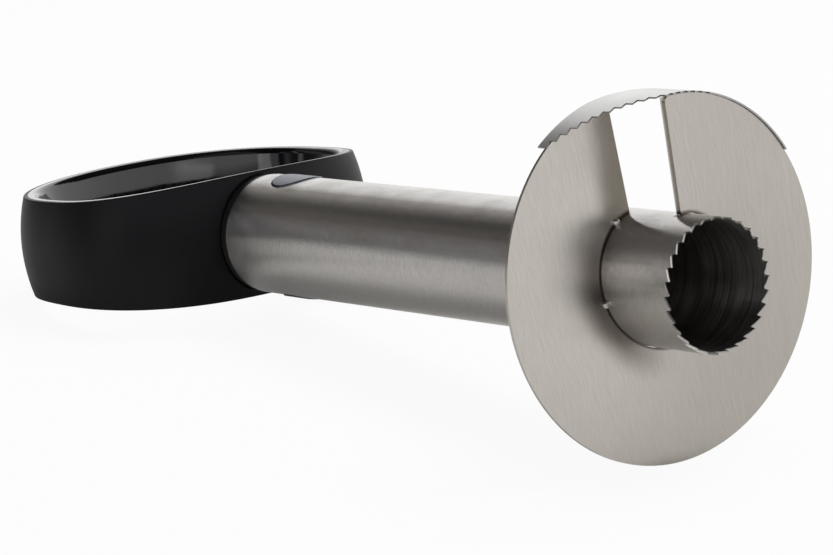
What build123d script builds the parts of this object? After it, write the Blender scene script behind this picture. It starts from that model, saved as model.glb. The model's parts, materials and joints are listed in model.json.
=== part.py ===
from build123d import *
from math import cos, pi, radians, sin
import os

# The tool is drawn upright in its own frame: Z runs along the core tube to the tooth tips at
# Z = 0, Y runs up through the release buttons and X runs to the right seen from the teeth.
# The last block lays the finished tool down as it rests on a table.

# Core tube
core_r = 16.0
core_wall = 0.6
core_length = 176.0
core_tooth_count = 30
core_tooth_depth = 1.7
core_tooth_phase = 4.0
tooth_undercut = 0.25

# Spiral blade, one turn that climbs towards the teeth
spiral_r = 43.95
spiral_t = 0.8
spiral_pitch = 16.3
spiral_front = -10.6
lead_angle = 94.6
slit_angle = 3.7
spiral_gap = 0.1
lead_corner_r = 1.5
lead_bevel = 0.8
lead_edge_t = 0.25

# Rim blade, a serrated strip outside the spiral's rim
rim_gap = 0.1
rim_t = 0.4
rim_start_angle = 127.5
rim_end_angle = 35.0
rim_back_angle = 104.0
rim_back_drop = 17.6
rim_end_drop = 6.9
rim_tip_drop = 14.5
rim_tip_step = 0.5
rim_tooth_angle = 3.1
rim_tooth_depth = 0.75
rim_tooth_count = 17

# Weld nuggets
root_weld_r = 1.0
root_weld_set = 0.4
root_weld_angles = (118.5, 192.0, 277.5, 355.0)
rim_weld_r = 0.9
rim_weld_set = 0.3
rim_weld_drop = 0.2
lead_weld_angles = (88.0, 62.0, 38.0)
trail_weld_angles = (103.0, 113.0, 123.0)

# Handle ring
grip_half_x = 48.9
grip_half_z = 36.0
grip_gap = 1.8
grip_power = 2.6
grip_half_h = 16.0
grip_bulge = 2.55
grip_arch = 2.1
grip_slope = 1.5
grip_land = 2.6
grip_lip = 2.1
grip_edge_r = 0.4
finger_bulge = 2.5
finger_edge_r = 2.0

# Stem that plugs into the tube
stem_gap = 0.2
stem_wall = 2.4
stem_reach = 28.0
stem_root_r = 15.9
pocket_depth = 24.0
web_t = 2.0
shell_hole_gap = 0.1

# Collar ring between the tube's end and the handle
collar_r = 15.75
collar_length = 2.5
collar_gap = 0.05

# Stem cap
cap_flange = 1.5
cap_plug = 3.0
cap_fit = 0.05

# Release buttons and their springs
button_r = 6.75
button_setback = 13.0
button_crown_r = 16.35
button_edge_r = 0.4
button_window_gap = 0.3
button_guide_gap = 0.15
button_base_y = 8.2
button_flange_r = 7.9
button_flange_t = 1.5
button_cup_r = 5.4
button_cup_top = 14.0
spring_wire_r = 0.35
spring_r = 4.4
spring_turns = 6

core_bore_r = core_r - core_wall
spiral_turn = 360 - slit_angle
spiral_rise = spiral_pitch * spiral_turn / 360
trail_angle = lead_angle + slit_angle
trail_front = spiral_front - spiral_rise
rim_in = spiral_r + rim_gap
rim_out = rim_in + rim_t
rim_back = spiral_front - rim_back_drop
rim_back_end = spiral_front - rim_end_drop
rim_tip_start = spiral_front - rim_tip_drop

# The handle and what plugs into the tube keep their places from the tube's end
tube_end = -core_length
grip_z = tube_end - grip_gap - grip_half_z
rim_x = grip_half_x - grip_bulge
rim_z = grip_half_z - grip_bulge
mouth_x = rim_x - grip_land
mouth_z = rim_z - grip_land
stem_r = core_bore_r - stem_gap
stem_front = tube_end + stem_reach
stem_root_z = tube_end - collar_length
stem_tail_z = grip_z + mouth_z + finger_edge_r / 2
button_z = tube_end + button_setback


def leading_z(angle):
    """Front face of the spiral clockwise of its leading edge."""
    return spiral_front - spiral_pitch * (lead_angle - angle) / 360


def trailing_z(angle):
    """Front face of the spiral counter-clockwise of its trailing edge."""
    return trail_front + spiral_pitch * (angle - trail_angle) / 360


def tangent_plane(angle, radius):
    """Plane that touches a round of this radius: X counter-clockwise, Y along the tool."""
    a = radians(angle)
    return Plane(
        origin=(radius * cos(a), radius * sin(a), 0),
        x_dir=(-sin(a), cos(a), 0),
        z_dir=(cos(a), sin(a), 0),
    )


# Core tube
core_tooth_pitch = 360 / core_tooth_count
core_mid_r = core_r - core_wall / 2
half_gap = core_mid_r * sin(radians(core_tooth_pitch / 2))
with BuildPart() as core_tooth_gap:
    with BuildSketch(tangent_plane(core_tooth_phase, core_mid_r)):
        with BuildLine():
            Polyline(
                (half_gap, 0),
                (-half_gap + tooth_undercut, -core_tooth_depth),
                (-half_gap, 0),
                (-half_gap, core_tooth_depth),
                (half_gap, core_tooth_depth),
                close=True,
            )
        make_face()
    extrude(amount=core_wall, both=True)

with BuildPart() as core_tube:
    with BuildSketch(Plane.XY.offset(-core_length)):
        Circle(core_r)
        Circle(core_bore_r, mode=Mode.SUBTRACT)
    extrude(amount=core_length)
    with PolarLocations(0, core_tooth_count):
        add(core_tooth_gap.part, mode=Mode.SUBTRACT)
    with Locations(Location((0, 0, button_z), (90, 0, 0))):
        Cylinder(button_r + button_window_gap, 3 * core_r, mode=Mode.SUBTRACT)

# Spiral blade, drawn with its trailing edge on the X axis and then turned into place
blade_in = core_r + spiral_gap
blade_mid = (spiral_r + blade_in) / 2
lead_turn = radians(spiral_turn)
with BuildPart() as spiral_blade:
    with BuildLine():
        Helix(spiral_pitch, spiral_rise, blade_mid)
    with BuildSketch(Plane.XZ):
        with Locations((blade_mid, -spiral_t / 2)):
            Rectangle(spiral_r - blade_in, spiral_t)
    sweep(is_frenet=True)
    with BuildSketch(
        Plane(
            origin=(0, 0, spiral_rise),
            x_dir=(sin(lead_turn), -cos(lead_turn), 0),
            z_dir=(cos(lead_turn), sin(lead_turn), 0),
        )
    ):
        with BuildLine():
            Polyline(
                (-spiral_t, spiral_t),
                (-spiral_t, lead_edge_t - spiral_t),
                (0, lead_edge_t - spiral_t),
                (lead_bevel, 0),
                (lead_bevel, spiral_t),
                close=True,
            )
        make_face()
    extrude(amount=spiral_r + 1, mode=Mode.SUBTRACT)
    lead_corner = spiral_blade.edges().filter_by(
        lambda e: e.length < spiral_t and e.center().Z > spiral_rise - 1 and e.center().X > spiral_r - 1
    )
    fillet(lead_corner, lead_corner_r)
spiral_blade.part.move(Location((0, 0, trail_front), (0, 0, trail_angle)))

# Rim blade
tip_slope = (spiral_front + rim_tip_step - rim_tip_start) / (rim_start_angle - lead_angle)


def rim_tip_z(angle):
    """Line of the tooth tips: a steep climb over the slit, then along the spiral's rim."""
    if angle > lead_angle:
        return rim_tip_start + tip_slope * (rim_start_angle - angle)
    return leading_z(angle) + rim_tip_step


with BuildPart() as rim_blade:
    with BuildSketch(Plane.XY.offset(rim_back)):
        with BuildLine():
            outer = CenterArc((0, 0), rim_out, rim_end_angle, rim_start_angle - rim_end_angle)
            inner = CenterArc((0, 0), rim_in, rim_end_angle, rim_start_angle - rim_end_angle)
            Line(outer @ 0, inner @ 0)
            Line(outer @ 1, inner @ 1)
        make_face()
    extrude(amount=rim_tip_z(lead_angle) + rim_t - rim_back)
    # Slanted cuts: first angle, last angle, heights there, reach of the cut
    clear = 2 * rim_back_drop
    before = rim_start_angle + 0.5
    after = rim_end_angle - 0.5
    for first, last, first_z, last_z, reach in (
        (before, lead_angle, rim_tip_z(before), rim_tip_z(lead_angle), clear),
        (lead_angle, after, rim_tip_z(lead_angle), rim_tip_z(after), clear),
        (rim_back_angle, after, rim_back, rim_back_end, -clear),
    ):
        middle = (first + last) / 2
        half = rim_out * sin(radians((first - last) / 2))
        with BuildSketch(tangent_plane(middle, rim_in * cos(radians((first - last) / 2)) - rim_t)):
            with BuildLine():
                Polyline(
                    (half, first_z),
                    (-half, last_z),
                    (-half, last_z + reach),
                    (half, first_z + reach),
                    close=True,
                )
            make_face()
        extrude(amount=rim_in / 2, mode=Mode.SUBTRACT)
    for tooth in range(rim_tooth_count):
        tip = rim_start_angle - rim_tooth_angle * tooth
        next_tip = tip - rim_tooth_angle
        middle = (tip + next_tip) / 2
        half = rim_out * sin(radians(rim_tooth_angle / 2))
        with BuildSketch(tangent_plane(middle, rim_out)):
            with BuildLine():
                Polyline(
                    (half, rim_tip_z(tip)),
                    (-half + tooth_undercut / 2, rim_tip_z(tip) - rim_tooth_depth),
                    (-half, rim_tip_z(next_tip)),
                    (-half, rim_tip_z(next_tip) + 2 * rim_tooth_depth),
                    (half, rim_tip_z(tip) + 2 * rim_tooth_depth),
                    close=True,
                )
            make_face()
        extrude(amount=1.5 * rim_t, both=True, mode=Mode.SUBTRACT)

# Root welds sit on the spiral's front face against the tube
with BuildPart() as root_welds:
    for angle in root_weld_angles:
        a = radians(angle)
        out = core_r + root_weld_set
        with Locations((out * cos(a), out * sin(a), trailing_z(angle) + root_weld_set)):
            Sphere(root_weld_r)
    add(core_tube.part, mode=Mode.SUBTRACT)
    add(spiral_blade.part, mode=Mode.SUBTRACT)
    with Locations((0, 0, -core_length / 2)):
        Cylinder(core_r, core_length, mode=Mode.SUBTRACT)

# Rim welds sit behind the spiral, against the inside of the rim blade
with BuildPart() as rim_welds:
    for angle in lead_weld_angles:
        a = radians(angle)
        out = spiral_r - rim_weld_set
        with Locations((out * cos(a), out * sin(a), leading_z(angle) - spiral_t - rim_weld_drop)):
            Sphere(rim_weld_r)
    for angle in trail_weld_angles:
        a = radians(angle)
        out = spiral_r - rim_weld_set
        with Locations((out * cos(a), out * sin(a), trailing_z(angle) - spiral_t - rim_weld_drop)):
            Sphere(rim_weld_r)
    add(rim_blade.part, mode=Mode.SUBTRACT)
    add(spiral_blade.part, mode=Mode.SUBTRACT)
    with BuildSketch(Plane.XY.offset(rim_back - rim_weld_r)):
        Circle(rim_in + 4 * rim_weld_r)
        Circle(rim_in, mode=Mode.SUBTRACT)
    extrude(amount=2 * rim_back_drop, mode=Mode.SUBTRACT)


# Handle ring
def oval_points(half_x, half_z, count=40):
    """Points round a squared oval."""
    points = []
    for step in range(count):
        turn = 2 * pi * step / count
        c = cos(turn)
        s = sin(turn)
        x = half_x * abs(c) ** (2 / grip_power) * (1 if c >= 0 else -1)
        z = half_z * abs(s) ** (2 / grip_power) * (1 if s >= 0 else -1)
        points.append((x, z))
    return points


def level_plane(height):
    """Plane across the handle at a height over its middle, its Y along the tool."""
    return Plane(origin=(0, height, grip_z), x_dir=(1, 0, 0), z_dir=(0, -1, 0))


ring_top = 1.125 * grip_half_h
ring_levels = (-ring_top, -ring_top / 2, 0.0, ring_top / 2, ring_top)

with BuildPart() as outer_barrel:
    for level in ring_levels:
        pull = grip_bulge * (level / grip_half_h) ** 2
        with BuildSketch(level_plane(level)):
            with BuildLine():
                Spline(*oval_points(grip_half_x - pull, grip_half_z - pull), periodic=True)
            make_face()
    loft()

with BuildPart() as finger_space:
    for level in ring_levels:
        swell = finger_bulge * (1 - (level / grip_half_h) ** 2)
        with BuildSketch(level_plane(level)):
            with BuildLine():
                Spline(*oval_points(mouth_x - swell, mouth_z - swell), periodic=True)
            make_face()
    loft()

with BuildPart() as core_oval:
    with BuildSketch(level_plane(0)):
        with BuildLine():
            Spline(*oval_points(mouth_x + grip_lip, mouth_z + grip_lip), periodic=True)
        make_face()
    extrude(amount=ring_top, both=True)

with BuildPart() as crown_cut:
    slope = radians(grip_slope)
    reach = 1.25 * grip_half_x
    drop = grip_arch * (reach / grip_half_x) ** 2
    with BuildSketch(Plane(origin=(0, 0, grip_z), x_dir=(1, 0, 0), z_dir=(0, sin(slope), cos(slope)))):
        with BuildLine():
            arch = ThreePointArc((-reach, grip_half_h - drop), (0, grip_half_h), (reach, grip_half_h - drop))
            Polyline(arch @ 0, (-reach, 2 * grip_half_h), (reach, 2 * grip_half_h), arch @ 1)
        make_face()
    extrude(amount=reach, both=True)
    mirror(about=Plane.XZ)

with BuildPart() as grip_shell:
    add(outer_barrel.part)
    add(core_oval.part, mode=Mode.SUBTRACT)
    add(crown_cut.part, mode=Mode.SUBTRACT)
    outer_rims = grip_shell.edges().filter_by(
        lambda e: abs(e.center().Y) > grip_half_h / 2 and e.bounding_box().size.X > rim_x + mouth_x + grip_lip
    )
    fillet(outer_rims, grip_edge_r)
    with BuildSketch(Plane.XY.offset(stem_tail_z)):
        Circle(stem_root_r + shell_hole_gap)
    extrude(amount=stem_front - stem_tail_z, mode=Mode.SUBTRACT)

with BuildPart() as handle_core:
    add(core_oval.part)
    add(finger_space.part, mode=Mode.SUBTRACT)
    add(crown_cut.part, mode=Mode.SUBTRACT)
    mouth_rims = handle_core.edges().filter_by(
        lambda e: abs(e.center().Y) > grip_half_h / 2
        and 2 * mouth_x - grip_land < e.bounding_box().size.X < 2 * mouth_x + grip_lip
    )
    fillet(mouth_rims, finger_edge_r)
    with BuildSketch(Plane.XY.offset(stem_tail_z)):
        Circle(stem_root_r)
    extrude(amount=stem_root_z - stem_tail_z)
    with BuildSketch(Plane.XY.offset(stem_root_z)):
        Circle(stem_r)
    extrude(amount=stem_front - stem_root_z)
    with BuildSketch(Plane.XY.offset(stem_front)):
        Circle(stem_r - stem_wall)
        Rectangle(2 * stem_r, web_t, mode=Mode.SUBTRACT)
    extrude(amount=-pocket_depth, mode=Mode.SUBTRACT)
    with Locations(Location((0, 0, button_z), (90, 0, 0))):
        Cylinder(button_r + button_guide_gap, 4 * stem_r, mode=Mode.SUBTRACT)
    with BuildSketch(Plane.XY.offset(stem_front)):
        Rectangle(2 * (stem_r - stem_wall), web_t)
    extrude(amount=-pocket_depth)

# Collar ring
with BuildPart() as collar_ring:
    with BuildSketch(Plane.XY.offset(stem_root_z)):
        Circle(collar_r)
        Circle(stem_r + collar_gap, mode=Mode.SUBTRACT)
    extrude(amount=collar_length - collar_gap)

# Stem cap
with BuildPart() as stem_cap:
    with BuildSketch(Plane.XY.offset(stem_front)):
        Circle(stem_r - cap_fit)
    extrude(amount=cap_flange)
    with BuildSketch(Plane.XY.offset(stem_front)):
        Circle(stem_r - stem_wall - cap_fit)
        Rectangle(2 * stem_r, web_t + 2 * cap_fit, mode=Mode.SUBTRACT)
    extrude(amount=-cap_plug)

# Release buttons
up_plane = Plane(origin=(0, 0, button_z), x_dir=(1, 0, 0), z_dir=(0, 1, 0))
with BuildPart() as button_top:
    with BuildSketch(up_plane.offset(button_base_y)):
        Circle(button_r)
    extrude(amount=button_crown_r)
    with Locations((0, 0, button_z)):
        Cylinder(button_crown_r, 4 * button_r, mode=Mode.INTERSECT)
    crown_rim = button_top.edges().filter_by(GeomType.LINE, reverse=True).filter_by(
        lambda e: e.center().Y > button_base_y + 2
    )
    fillet(crown_rim, button_edge_r)
    with BuildSketch(up_plane.offset(button_base_y)):
        Circle(button_flange_r)
    extrude(amount=button_flange_t)
    with BuildSketch(up_plane.offset(button_base_y)):
        Circle(button_cup_r)
    extrude(amount=button_cup_top - button_base_y, mode=Mode.SUBTRACT)

with BuildPart() as button_bottom:
    add(mirror(button_top.part, about=Plane.XZ, mode=Mode.PRIVATE))

# Button springs between the stem's web and the buttons' cups
spring_from = web_t / 2 + spring_wire_r
spring_to = button_cup_top - spring_wire_r
with BuildPart() as spring_top:
    with BuildLine():
        Helix((spring_to - spring_from) / spring_turns, spring_to - spring_from, spring_r)
    with BuildSketch(Plane.XZ):
        with Locations((spring_r, 0)):
            Circle(spring_wire_r)
    sweep(is_frenet=True)
spring_top.part.move(up_plane.offset(spring_from).location)

with BuildPart() as spring_bottom:
    add(mirror(spring_top.part, about=Plane.XZ, mode=Mode.PRIVATE))

pieces = {
    "core_tube": core_tube,
    "spiral_blade": spiral_blade,
    "rim_blade": rim_blade,
    "root_welds": root_welds,
    "rim_welds": rim_welds,
    "grip_shell": grip_shell,
    "handle_core": handle_core,
    "collar_ring": collar_ring,
    "stem_cap": stem_cap,
    "button_top": button_top,
    "button_bottom": button_bottom,
    "spring_top": spring_top,
    "spring_bottom": spring_bottom,
}


# Rest on the table: the tool tips until the handle and the spiral's rim are equally low
def lying(tip):
    """Place of the tool on its side, the handle's end tipped down by this angle."""
    return Plane(origin=(0, 0, 0), x_dir=(0, 1, 0), z_dir=(cos(tip), 0, sin(tip))).location


tilt = 0.0
for turn in range(4):
    grip_low = (lying(tilt) * grip_shell.part).bounding_box().min.Z
    spiral_low = (lying(tilt) * spiral_blade.part).bounding_box().min.Z
    tilt += (grip_low - spiral_low) / (core_length + grip_half_z)

for piece in pieces.values():
    piece.part.move(lying(tilt))
whole = Compound(children=[Part(piece.part.wrapped) for piece in pieces.values()]).bounding_box()
centring = Location((-whole.center().X, -whole.center().Y, -whole.min.Z))

os.makedirs("parts", exist_ok=True)
for label, piece in pieces.items():
    piece.part.move(centring)
    piece.part.label = label
    export_step(piece.part, f"parts/{label}.step")
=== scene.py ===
import json
import math

import bmesh
import bpy
from mathutils import Euler, Matrix, Vector

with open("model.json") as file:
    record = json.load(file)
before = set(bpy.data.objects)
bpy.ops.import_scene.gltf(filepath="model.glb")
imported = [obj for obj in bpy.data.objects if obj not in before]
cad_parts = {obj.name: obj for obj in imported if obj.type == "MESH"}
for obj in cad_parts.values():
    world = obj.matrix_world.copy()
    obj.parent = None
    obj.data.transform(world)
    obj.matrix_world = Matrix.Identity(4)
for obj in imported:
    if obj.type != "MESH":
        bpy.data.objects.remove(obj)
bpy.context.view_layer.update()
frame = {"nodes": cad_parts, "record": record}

bl_info = {
    "name": "Pineapple Corer",
    "version": (1, 0, 0),
    "blender": (4, 5, 0),
    "location": "View3D > Sidebar > Corer",
    "description": "Steel, grip and button finishes for a pineapple corer, with a plain studio",
    "category": "Object",
}

MM = 0.001
WHITE = (1, 1, 1, 1)

# The tube's line in the row frame, from the record: a point on it and its direction
# towards the teeth. The tool lies tipped by TILT, because the spiral holds that end up.
TUBE = frame["record"]["mounts"][0]
TUBE_AXIS = Vector(TUBE["axis"]).normalized()
TUBE_POINT = Vector(TUBE["pos_m"])
TILT = math.atan2(TUBE_AXIS.z, TUBE_AXIS.x)
TUBE_R = TUBE["dims"]["r_mm"] * MM

# The spiral blade: the angle of its trailing edge in degrees from the tool's right-hand side,
# the climb of a turn, and how far its trailing edge lies from TUBE_POINT towards the teeth
SPIRAL_START = 98.3
SPIRAL_PITCH = 16.3 * MM
SPIRAL_BACK = 64.9 * MM

# How far the shading leans back on the sheet's left side, where the sheet is taken to be pressed back
DISH_ANGLE = math.radians(8)

# Brown-grey painted shade in the crease beside the welded seam and in the bore
PAINTED_SHADE_TINT = "#5E564E"


def linear(hex_colour):
    """sRGB hex, such as '#C8C8C8', as the linear colour that Blender works in."""
    parts = [int(hex_colour[i:i + 2], 16) / 255 for i in (1, 3, 5)]
    return tuple(c / 12.92 if c <= 0.04045 else ((c + 0.055) / 1.055) ** 2.4 for c in parts)


def scaled(colour, share):
    """The colour made darker or lighter."""
    return tuple(c * share for c in colour)


def add_node(tree, kind, inputs=None, **settings):
    """Adds a node with its settings. Inputs are values, or outputs to link from."""
    made = tree.nodes.new(kind)
    for name, value in settings.items():
        setattr(made, name, value)
    for name, value in (inputs or {}).items():
        if isinstance(value, bpy.types.NodeSocket):
            tree.links.new(value, made.inputs[name])
        else:
            made.inputs[name].default_value = value
    return made


def maths(tree, operation, *values):
    """Result of a Math node."""
    return add_node(tree, "ShaderNodeMath", dict(enumerate(values)), operation=operation).outputs[0]


def vector_maths(tree, operation, *values):
    """Outputs of a Vector Math node."""
    return add_node(tree, "ShaderNodeVectorMath", dict(enumerate(values)), operation=operation).outputs


def remap(tree, value, low, high, to_low, to_high):
    """The value taken from one range to another and held inside it."""
    return add_node(tree, "ShaderNodeMapRange", {
        "Value": value, "From Min": low, "From Max": high,
        "To Min": to_low, "To Max": to_high}).outputs["Result"]


def fade(tree, value, full, none):
    """1 where the value is at its full end, falling smoothly to 0 at the other."""
    return add_node(tree, "ShaderNodeMapRange", {
        "Value": value, "From Min": full, "From Max": none, "To Min": 1.0, "To Max": 0.0},
        interpolation_type="SMOOTHSTEP").outputs["Result"]


def tool_coordinates(tree, cell, lean=0.0):
    """Position along the tube, to the right and up from its line, in cells of this size in metres."""
    place = add_node(tree, "ShaderNodeTexCoord")
    return add_node(
        tree, "ShaderNodeMapping",
        {"Vector": place.outputs["Object"], "Location": TUBE_POINT, "Rotation": (lean, -TILT, 0), "Scale": cell},
        vector_type="TEXTURE",
    ).outputs["Vector"]


def tool_parts(tree):
    """Metres along the tube, to the right and up from its line, as outputs X, Y and Z."""
    return add_node(tree, "ShaderNodeSeparateXYZ", {"Vector": tool_coordinates(tree, (1, 1, 1))}).outputs


def noise(tree, cell, detail=2.0, roughness=0.5, lean=0.0):
    """Noise with cells of this size, in metres along the tube, to the right and up."""
    return add_node(tree, "ShaderNodeTexNoise", {
        "Vector": tool_coordinates(tree, cell, lean), "Scale": 1.0,
        "Detail": detail, "Roughness": roughness}).outputs["Fac"]


def bumped(tree, height, strength, depth, **more):
    """The surface's direction over a height pattern of this depth in metres."""
    return add_node(tree, "ShaderNodeBump", {
        "Height": height, "Strength": strength, "Distance": depth, **more}).outputs["Normal"]


def two_tones(tree, factor, dark, light, start=0.0, end=1.0):
    """Goes from the dark to the light colour while the factor goes from start to end."""
    ramp = add_node(tree, "ShaderNodeValToRGB", {"Fac": factor})
    for element, place, colour in zip(ramp.color_ramp.elements, (start, end), (dark, light)):
        element.position = place
        element.color = (*colour, 1)
    return ramp.outputs["Color"]


def tube_radius(tree):
    """Distance from the tube's line."""
    flat = vector_maths(tree, "MULTIPLY", tool_coordinates(tree, (1, 1, 1)), (0, 1, 1))["Vector"]
    return vector_maths(tree, "LENGTH", flat)["Value"]


def seam_distance(tree):
    """Distance along the tube from the middle of the spiral blade's thickness, on either side."""
    parts = tool_parts(tree)
    angle = maths(tree, "ARCTAN2", parts["Z"], parts["Y"])
    turns = maths(tree, "MULTIPLY_ADD", angle, 1 / math.tau, -SPIRAL_START / 360)
    turn = maths(tree, "FRACT", turns)
    blade = maths(tree, "MULTIPLY_ADD", turn, SPIRAL_PITCH, SPIRAL_BACK)
    return maths(tree, "ABSOLUTE", maths(tree, "SUBTRACT", parts["X"], blade))


def new_material(name):
    """An empty node material and its tree."""
    material = bpy.data.materials.new(name)
    material.use_nodes = True
    material.node_tree.nodes.clear()
    return material, material.node_tree


def output(tree, shader):
    add_node(tree, "ShaderNodeOutputMaterial", {"Surface": shader})


def principled(tree, inputs):
    """Ends the tree in a Principled shader with these inputs."""
    output(tree, add_node(tree, "ShaderNodeBsdfPrincipled", inputs).outputs["BSDF"])


def finish_node(node, material):
    """Gives a CAD node this material and no other."""
    mesh = frame["nodes"][node].data
    mesh.materials.clear()
    mesh.materials.append(material)


class CorerSteel(bpy.types.PropertyGroup):
    sheet: bpy.props.FloatVectorProperty(
        name="Sheet", description="Colour of the spiral blade's brushed steel", subtype="COLOR",
        size=3, min=0, max=1, default=linear("#C1BCB5"))
    tube: bpy.props.FloatVectorProperty(
        name="Tube", description="Colour of the core tube's brushed steel", subtype="COLOR",
        size=3, min=0, max=1, default=linear("#C9C6C3"))
    strip: bpy.props.FloatVectorProperty(
        name="Strip", description="Colour of the rim blade's brushed strip", subtype="COLOR",
        size=3, min=0, max=1, default=linear("#ACABAA"))
    tube_roughness: bpy.props.FloatProperty(
        name="Tube roughness", description="Roughness of the tube's brushed finish", min=0, max=1, default=0.24)
    blade_roughness: bpy.props.FloatProperty(
        name="Blade roughness", description="Roughness of the blades' brushed finish", min=0, max=1, default=0.24)
    grain: bpy.props.FloatProperty(
        name="Grain", description="Width of a brush line", subtype="DISTANCE", unit="LENGTH",
        min=0.05 * MM, max=2 * MM, precision=5, default=0.35 * MM)
    grain_length: bpy.props.FloatProperty(
        name="Grain length", description="Length of a brush line", subtype="DISTANCE", unit="LENGTH",
        min=1 * MM, max=100 * MM, default=14 * MM)


class CorerHandle(bpy.types.PropertyGroup):
    grip: bpy.props.FloatVectorProperty(
        name="Grip", description="Colour of the soft matte grip", subtype="COLOR",
        size=3, min=0, max=1, default=linear("#141417"))
    gloss: bpy.props.FloatVectorProperty(
        name="Gloss", description="Colour of the glossy inner ring and stem", subtype="COLOR",
        size=3, min=0, max=1, default=linear("#0A0A0C"))
    button: bpy.props.FloatVectorProperty(
        name="Button", description="Colour of the satin release buttons", subtype="COLOR",
        size=3, min=0, max=1, default=linear("#5E626C"))


class CorerView(bpy.types.PropertyGroup):
    azimuth: bpy.props.FloatProperty(
        name="Azimuth", description="Turn of the camera round the tool", subtype="ANGLE", unit="ROTATION",
        default=math.radians(51.983))
    elevation: bpy.props.FloatProperty(
        name="Elevation", description="Height of the camera over the table", subtype="ANGLE", unit="ROTATION",
        default=math.radians(15.689))
    roll: bpy.props.FloatProperty(
        name="Roll", description="Turn of the camera about its own line of sight", subtype="ANGLE",
        unit="ROTATION", default=math.radians(-1.053))
    aim: bpy.props.FloatVectorProperty(
        name="Aim", description="Point in the middle of the view", subtype="TRANSLATION", unit="LENGTH",
        size=3, default=(79.52 * MM, -54.29 * MM, 49.19 * MM))
    distance: bpy.props.FloatProperty(
        name="Distance", description="From the camera to the aim", subtype="DISTANCE", unit="LENGTH",
        default=800 * MM)
    lens: bpy.props.FloatProperty(
        name="Lens", description="Focal length on a 36 mm wide sensor, in millimetres", default=150.58)


def tube_painted_shade(tree):
    """Painted shade beside the seam outside, and streaky painted shade in the bore."""
    inside = fade(tree, tube_radius(tree), TUBE_R - 0.45 * MM, TUBE_R - 0.15 * MM)
    outside = maths(tree, "SUBTRACT", 1.0, inside)
    streaks = noise(tree, (0.6 * MM, 22 * MM, 22 * MM), detail=3.0)
    # Painted shade in the bore, streaky along the brush marks
    bore_shade = maths(tree, "MULTIPLY", inside, remap(tree, streaks, 0.38, 0.62, 0.15, 0.6))
    # Painted shade in the crease where the tube meets the blade
    seam = fade(tree, seam_distance(tree), 0.5 * MM, 1.3 * MM)
    seam_shade = maths(tree, "MULTIPLY", seam, outside)
    return maths(tree, "MAXIMUM", bore_shade, seam_shade)


def blade_painted_shade(tree):
    """Painted shade beside the seam, and to the left and below a fainter painted shade from the tube over the
    next centimetre.
    """
    radius = tube_radius(tree)
    parts = tool_parts(tree)
    left = fade(tree, parts["Y"], -0.9 * TUBE_R, 0.2 * TUBE_R)
    low = fade(tree, parts["Z"], 0.4 * TUBE_R, TUBE_R)
    # Painted shade in the crease beside the tube
    near = fade(tree, radius, TUBE_R + 0.2 * MM, TUBE_R + 1.2 * MM)
    # Fainter painted shade from the tube on the sheet to its left and below
    wide = fade(tree, radius, TUBE_R + 1.5 * MM, TUBE_R + 9 * MM)
    tube_side_shade = maths(tree, "MULTIPLY", maths(tree, "MULTIPLY", wide, 0.8), maths(tree, "MULTIPLY", left, low))
    return maths(tree, "MAXIMUM", near, tube_side_shade)


def dished(tree, normal):
    """Leans the shading back towards the sheet's left edge, so that the tube's mirror image ends close to the
    tube.
    """
    left = fade(tree, tool_parts(tree)["Y"], -0.3 * TUBE_R, 0.1 * TUBE_R)
    lean = maths(tree, "MULTIPLY", left, -math.tan(DISH_ANGLE))
    shift = add_node(tree, "ShaderNodeCombineXYZ", {"Y": lean}).outputs["Vector"]
    turned = vector_maths(tree, "ADD", normal, shift)["Vector"]
    return vector_maths(tree, "NORMALIZE", turned)["Vector"]


# Brushed stainless steel: thin lines, a highlight drawn out across them, slight tone changes
def brushed_steel(name, colour, roughness, cell, across, blur,
                  lean=0.0, tone=0.10, depth=0.0025 * MM, painted_shade=None, is_dished=False):
    material, tree = new_material(name)
    lines = noise(tree, cell, detail=3.0, roughness=0.6, lean=lean)
    clouds = noise(tree, (9 * MM,) * 3)
    shade = two_tones(tree, lines, scaled(colour, 1 - tone), colour, start=0.3, end=0.7)
    # Painted shade, where given, mixes the steel towards the brown-grey at the seam and in the bore
    if painted_shade:
        shade = add_node(tree, "ShaderNodeMix", {
            "Factor": painted_shade(tree), 6: shade, 7: (*linear(PAINTED_SHADE_TINT), 1)}, data_type="RGBA").outputs[2]
    normal = bumped(tree, lines, 0.35, depth)
    if is_dished:
        normal = dished(tree, normal)
    pull = add_node(tree, "ShaderNodeCombineXYZ", {"X": across[0], "Y": across[1], "Z": across[2]})
    principled(tree, {
        "Base Color": shade, "Metallic": 1.0,
        "Roughness": remap(tree, clouds, 0.3, 0.7, roughness - 0.02, roughness + 0.03),
        "Anisotropic": blur, "Tangent": pull.outputs["Vector"], "Normal": normal})
    return material


class CORER_OT_tube(bpy.types.Operator):
    """Brush the core tube round its axis"""
    bl_idname = "corer.tube"
    bl_label = "Core tube"

    def execute(self, context):
        steel = context.scene.corer_steel
        # Drawn coarser than the real brush marks, so that they show from a step away
        cell = (1.2 * steel.grain, 4 * steel.grain, 4 * steel.grain)
        finish_node("core_tube", brushed_steel(
            "brushed_stainless_tube", tuple(steel.tube), steel.tube_roughness, cell, TUBE_AXIS,
            blur=1.0, tone=0.2, depth=0.1 * MM, painted_shade=tube_painted_shade))
        return {"FINISHED"}


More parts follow.
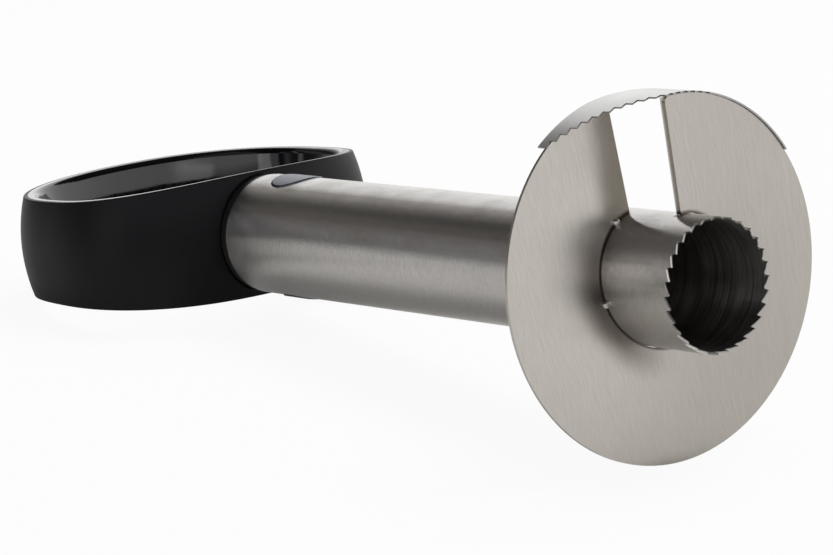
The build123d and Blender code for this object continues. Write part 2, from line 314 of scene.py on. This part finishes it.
class CORER_OT_blades(bpy.types.Operator):
    """Brush the spiral blade up and down, and the rim blade along its length"""
    bl_idname = "corer.blades"
    bl_label = "Spiral and rim blades"

    def execute(self, context):
        steel = context.scene.corer_steel
        straight = (steel.grain_length, 0.8 * steel.grain, 0.4 * steel.grain_length)
        finish_node("spiral_blade", brushed_steel(
            "brushed_stainless_sheet", tuple(steel.sheet), steel.blade_roughness, straight, Vector((0, 1, 0)),
            blur=0.6, lean=math.radians(10), tone=0.12, depth=0.002 * MM, painted_shade=blade_painted_shade, is_dished=True))
        curved = (steel.grain, steel.grain_length, steel.grain_length)
        finish_node("rim_blade", brushed_steel(
            "brushed_stainless_strip", tuple(steel.strip), 1.2 * steel.blade_roughness, curved, TUBE_AXIS,
            blur=0.3))
        return {"FINISHED"}


# Weld nuggets: melted steel with small ripples, lighter and darker than the sheet by turns
def weld_steel():
    material, tree = new_material("melted_weld_steel")
    ripple = noise(tree, (0.5 * MM,) * 3)
    principled(tree, {
        "Base Color": two_tones(tree, ripple, linear("#8D8A86"), linear("#D8D6D4")),
        "Metallic": 1.0, "Roughness": 0.28, "Normal": bumped(tree, ripple, 0.6, 0.1 * MM)})
    return material


class CORER_OT_welds(bpy.types.Operator):
    """Finish the weld nuggets"""
    bl_idname = "corer.welds"
    bl_label = "Welds"

    def execute(self, context):
        material = weld_steel()
        for node in ("root_welds", "rim_welds"):
            finish_node(node, material)
        return {"FINISHED"}


# Soft-touch rubber over the handle: matte black with a fine moulded grit and a dull sheen
def soft_grip(colour):
    material, tree = new_material("soft_touch_rubber")
    grit = noise(tree, (0.3 * MM,) * 3)
    clouds = noise(tree, (14 * MM,) * 3)
    lip = add_node(tree, "ShaderNodeBevel", {"Radius": 0.5 * MM}, samples=6).outputs["Normal"]
    principled(tree, {
        "Base Color": two_tones(tree, grit, scaled(colour, 0.8), scaled(colour, 1.2)),
        "Roughness": remap(tree, clouds, 0.3, 0.7, 0.40, 0.46), "IOR": 1.5,
        "Specular IOR Level": 0.14, "Normal": bumped(tree, grit, 0.4, 0.04 * MM, Normal=lip)})
    return material


# Polished ABS: near-black, mirror-like, with faint fine scuffs that only the gloss shows
def gloss_abs(colour):
    material, tree = new_material("polished_black_abs")
    scuff = noise(tree, (6 * MM, 1.5 * MM, 1.5 * MM), detail=4.0)
    principled(tree, {
        "Base Color": two_tones(tree, scuff, scaled(colour, 0.9), scaled(colour, 1.1)),
        "Roughness": remap(tree, scuff, 0.35, 0.7, 0.06, 0.11), "IOR": 1.6})
    return material


# Moulded nylon and rubber trim: dull black with an even grain
def dull_black(name, colour, roughness):
    material, tree = new_material(name)
    grain = noise(tree, (0.4 * MM,) * 3)
    principled(tree, {
        "Base Color": two_tones(tree, grain, scaled(linear(colour), 0.8), scaled(linear(colour), 1.2)),
        "Roughness": roughness, "IOR": 1.5, "Normal": bumped(tree, grain, 0.3, 0.03 * MM)})
    return material


class CORER_OT_handle(bpy.types.Operator):
    """Finish the grip, the inner ring with its stem, the collar and the cap"""
    bl_idname = "corer.handle"
    bl_label = "Handle"

    def execute(self, context):
        handle = context.scene.corer_handle
        finish_node("grip_shell", soft_grip(tuple(handle.grip)))
        finish_node("handle_core", gloss_abs(tuple(handle.gloss)))
        finish_node("collar_ring", dull_black("moulded_rubber_collar", "#0C0C0D", 0.6))
        finish_node("stem_cap", dull_black("moulded_nylon_cap", "#141415", 0.5))
        return {"FINISHED"}


# Satin metallised button: bluish grey with an even fine grain
def satin_button(colour):
    material, tree = new_material("satin_metallised_button")
    grain = noise(tree, (0.25 * MM,) * 3)
    principled(tree, {
        "Base Color": two_tones(tree, grain, scaled(colour, 0.9), colour),
        "Metallic": 0.9, "Roughness": 0.42, "Normal": bumped(tree, grain, 0.3, 0.02 * MM)})
    return material


# Drawn spring wire: bright steel with faint lines
def spring_wire():
    material, tree = new_material("drawn_spring_wire")
    lines = noise(tree, (2 * MM, 2 * MM, 0.15 * MM))
    principled(tree, {
        "Base Color": two_tones(tree, lines, linear("#8F8F90"), linear("#C4C4C5")),
        "Metallic": 1.0, "Roughness": 0.3})
    return material


class CORER_OT_buttons(bpy.types.Operator):
    """Finish the two release buttons and their springs"""
    bl_idname = "corer.buttons"
    bl_label = "Buttons and springs"

    def execute(self, context):
        satin = satin_button(tuple(context.scene.corer_handle.button))
        wire = spring_wire()
        for side in ("top", "bottom"):
            finish_node("button_" + side, satin)
            finish_node("spring_" + side, wire)
        return {"FINISHED"}


# How white the camera sees the floor. The rest is left to the shadow.
FLOOR_WHITE = 0.93
# How white glossy and transmission rays see the floor, as painted light: painted shade under the tool, whiter
# from the first distance to the second, in metres, behind the tool (+Y) and in front of the teeth (+X)
FLOOR_DARK = 0.1
FLOOR_BEHIND = (0.1, 0.7, 0.8)
FLOOR_AHEAD = (0.2, 0.4, 0.75)


def plain_floor():
    """A pale floor. The camera sees it near white, so only the soft shadow tells it from the backdrop."""
    material, tree = new_material("pale_floor")
    ray = add_node(tree, "ShaderNodeLightPath").outputs
    paper = add_node(tree, "ShaderNodeBsdfDiffuse", {"Color": (*linear("#E4E3E1"), 1)})
    white = add_node(tree, "ShaderNodeEmission", {"Color": WHITE, "Strength": 1.0})
    place = add_node(tree, "ShaderNodeTexCoord")
    parts = add_node(tree, "ShaderNodeSeparateXYZ", {"Vector": place.outputs["Object"]}).outputs

    def whiter(part, near, far, most):
        return remap(tree, parts[part], near, far, FLOOR_DARK, most)

    # Painted light on the floor for glossy and transmission rays, with painted shade under the tool
    lit = maths(tree, "MAXIMUM", whiter("Y", *FLOOR_BEHIND), whiter("X", *FLOOR_AHEAD))
    bounced = maths(tree, "ADD", ray["Is Glossy Ray"], ray["Is Transmission Ray"])
    seen = maths(tree, "MULTIPLY", bounced, lit)
    share = maths(tree, "MULTIPLY_ADD", ray["Is Camera Ray"], FLOOR_WHITE, seen)
    mix = add_node(tree, "ShaderNodeMixShader", {
        "Fac": share, 1: paper.outputs["BSDF"], 2: white.outputs["Emission"]})
    output(tree, mix.outputs["Shader"])

    mesh = bmesh.new()
    bmesh.ops.create_grid(mesh, x_segments=4, y_segments=4, size=6)
    data = bpy.data.meshes.new("floor")
    mesh.to_mesh(data)
    mesh.free()
    data.materials.append(material)
    floor = bpy.data.objects.new("floor", data)
    bpy.context.scene.collection.objects.link(floor)


# What the gloss and the steel mirror. The wall is brightest behind the tool and to its right.
# A softbox hangs over the camera, dark below, with two narrow lit gaps beside it. Places on
# the wall are azimuths in degrees from +X towards +Y, and heights are the sine of the elevation.
STUDIO_WALL = (
    (-180, "#5C5A58"), (-173, "#444240"), (-165, "#3A3836"), (-159, "#4E4C4A"), (-154, "#6C6966"),
    (-148, "#726F6C"), (-144, "#524F4C"), (-141, "#363432"), (-136, "#302E2C"), (-120, "#3A3836"),
    (-110, "#77777C"), (-102, "#2A2A2C"), (-66, "#1C1C1E"), (-10, "#1C1C1E"), (-2, "#C4C4C4"),
    (24, "#D2D2D2"), (60, "#F0F0F0"), (110, "#FFFFFF"), (156, "#FFFFFF"), (167, "#B8B6B3"),
    (175, "#858381"),
)
WALL_HEIGHT = ((0.51, "#FFFFFF"), (0.53, "#A8A8A8"), (0.55, "#484848"), (0.57, "#303030"), (0.62, "#202020"))
# The drop of the wall's top edge towards +X
WALL_SLOPE = 0.12
FRONT_WALL = (
    (-180, "#000000"), (-72, "#000000"), (-60, "#FFFFFF"), (14, "#FFFFFF"), (26, "#000000"), (180, "#000000"),
)
FRONT_HEIGHT = (
    (0.0, "#1C1C1E"), (0.14, "#2A2A2C"), (0.26, "#8A8A8D"), (0.40, "#D2D2D4"), (0.60, "#D2D2D4"),
    (0.76, "#5A5A5C"),
)
GAP_WALL = (
    (-180, "#000000"), (-136, "#000000"), (-134, "#A8A8AC"), (-130, "#A8A8AC"), (-128, "#000000"),
    (-98, "#000000"), (-94, "#9A9A9E"), (-84, "#9A9A9E"), (-80, "#FFFFFF"), (-66, "#FFFFFF"),
    (-60, "#000000"), (180, "#000000"),
)
# Glossy rays see the drawn studio, stronger than white. Diffuse rays see a plain white world.
STUDIO_STRENGTH = 1.6
PLAIN_STRENGTH = 0.45


def soft_stops(tree, factor, stops):
    """A colour ramp with eased steps between its stops."""
    ramp = add_node(tree, "ShaderNodeValToRGB", {"Fac": factor})
    ramp.color_ramp.interpolation = "EASE"
    elements = ramp.color_ramp.elements
    while len(elements) < len(stops):
        elements.new(0.5)
    for element, (place, colour) in zip(elements, stops):
        element.position = place
        element.color = (*linear(colour), 1)
    return ramp.outputs["Color"]


def studio_world(scene):
    """White for the camera, the drawn studio for what mirrors it, plain white for the rest."""
    world = bpy.data.worlds.new("studio")
    scene.world = world
    world.use_nodes = True
    tree = world.node_tree
    tree.nodes.clear()
    place = add_node(tree, "ShaderNodeTexCoord")
    parts = add_node(tree, "ShaderNodeSeparateXYZ", {"Vector": place.outputs["Generated"]}).outputs
    turn = maths(tree, "ARCTAN2", parts["Y"], parts["X"])
    share = remap(tree, turn, -math.pi, math.pi, 0.0, 1.0)

    def blended(kind, first, second):
        return add_node(tree, "ShaderNodeMix", {
            "Factor": 1.0, 6: first, 7: second}, data_type="RGBA", blend_type=kind).outputs[2]

    def background(colour, strength):
        return add_node(tree, "ShaderNodeBackground", {
            "Color": colour, "Strength": strength}).outputs["Background"]

    def wall_part(around, height, upward):
        around_share = [((angle + 180) / 360, colour) for angle, colour in around]
        return blended("MULTIPLY", soft_stops(tree, share, around_share), soft_stops(tree, height, upward))

    sloped = maths(tree, "MULTIPLY_ADD", parts["X"], WALL_SLOPE, parts["Z"])
    wall = wall_part(STUDIO_WALL, sloped, WALL_HEIGHT)
    front = wall_part(FRONT_WALL, parts["Z"], FRONT_HEIGHT)
    gaps = wall_part(GAP_WALL, parts["Z"], WALL_HEIGHT)
    mirrored = background(blended("ADD", blended("ADD", wall, front), gaps), STUDIO_STRENGTH)
    plain = background(WHITE, PLAIN_STRENGTH)
    white = background(WHITE, 1.0)

    ray = add_node(tree, "ShaderNodeLightPath").outputs
    direct = maths(tree, "MAXIMUM", ray["Is Camera Ray"], ray["Is Transmission Ray"])
    lit = add_node(tree, "ShaderNodeMixShader", {"Fac": ray["Is Glossy Ray"], 1: plain, 2: mirrored})
    seen = add_node(tree, "ShaderNodeMixShader", {"Fac": direct, 1: lit.outputs["Shader"], 2: white})
    add_node(tree, "ShaderNodeOutputWorld", {"Surface": seen.outputs["Shader"]})


def key_softbox(scene):
    """The one lamp, above and behind the tool. Nothing mirrors it."""
    light = bpy.data.lights.new("key_softbox", "AREA")
    light.shape = "RECTANGLE"
    light.size, light.size_y = 0.9, 0.6
    light.energy = 11
    lamp = bpy.data.objects.new("key_softbox", light)
    place, aim = Vector((0.1, 0.5, 1.25)), Vector((0, 0, 0.03))
    lamp.location = place
    lamp.rotation_euler = (aim - place).to_track_quat("-Z", "Y").to_euler()
    lamp.visible_glossy = False
    scene.collection.objects.link(lamp)


def set_camera(scene):
    """The photograph's camera, from the view's settings."""
    view = scene.corer_view
    camera = bpy.data.objects.new("camera", bpy.data.cameras.new("camera"))
    turn = Euler((math.pi / 2 - view.elevation, 0, view.azimuth)).to_matrix()
    turn = turn @ Matrix.Rotation(view.roll, 3, "Z")
    place = Vector(view.aim) + turn @ Vector((0, 0, view.distance))
    camera.matrix_world = Matrix.Translation(place) @ turn.to_4x4()
    camera.data.sensor_width = 36
    camera.data.lens = view.lens
    scene.collection.objects.link(camera)
    scene.camera = camera


class CORER_OT_stage(bpy.types.Operator):
    """Lay the floor, light the studio and set the camera"""
    bl_idname = "corer.stage"
    bl_label = "Studio and camera"

    def execute(self, context):
        scene = context.scene
        plain_floor()
        studio_world(scene)
        key_softbox(scene)
        set_camera(scene)
        scene.view_settings.view_transform = "Standard"
        return {"FINISHED"}


class CORER_PT_panel(bpy.types.Panel):
    bl_label = "Pineapple Corer"
    bl_idname = "CORER_PT_panel"
    bl_space_type = "VIEW_3D"
    bl_region_type = "UI"
    bl_category = "Corer"

    def draw(self, context):
        scene = context.scene
        for group in (scene.corer_steel, scene.corer_handle, scene.corer_view):
            box = self.layout.box()
            for name in group.__annotations__:
                box.prop(group, name)
        for operator in OPERATORS:
            self.layout.operator(operator.bl_idname)


GROUPS = (CorerSteel, CorerHandle, CorerView)
OPERATORS = (CORER_OT_tube, CORER_OT_blades, CORER_OT_welds, CORER_OT_handle, CORER_OT_buttons, CORER_OT_stage)


def register():
    for cls in (*GROUPS, *OPERATORS, CORER_PT_panel):
        bpy.utils.register_class(cls)
    bpy.types.Scene.corer_steel = bpy.props.PointerProperty(type=CorerSteel)
    bpy.types.Scene.corer_handle = bpy.props.PointerProperty(type=CorerHandle)
    bpy.types.Scene.corer_view = bpy.props.PointerProperty(type=CorerView)


def unregister():
    del bpy.types.Scene.corer_view
    del bpy.types.Scene.corer_handle
    del bpy.types.Scene.corer_steel
    for cls in reversed((*GROUPS, *OPERATORS, CORER_PT_panel)):
        bpy.utils.unregister_class(cls)


def main():
    register()
    bpy.ops.corer.tube()
    bpy.ops.corer.blades()
    bpy.ops.corer.welds()
    bpy.ops.corer.handle()
    bpy.ops.corer.buttons()
    bpy.ops.corer.stage()


if __name__ == "__main__":
    main()
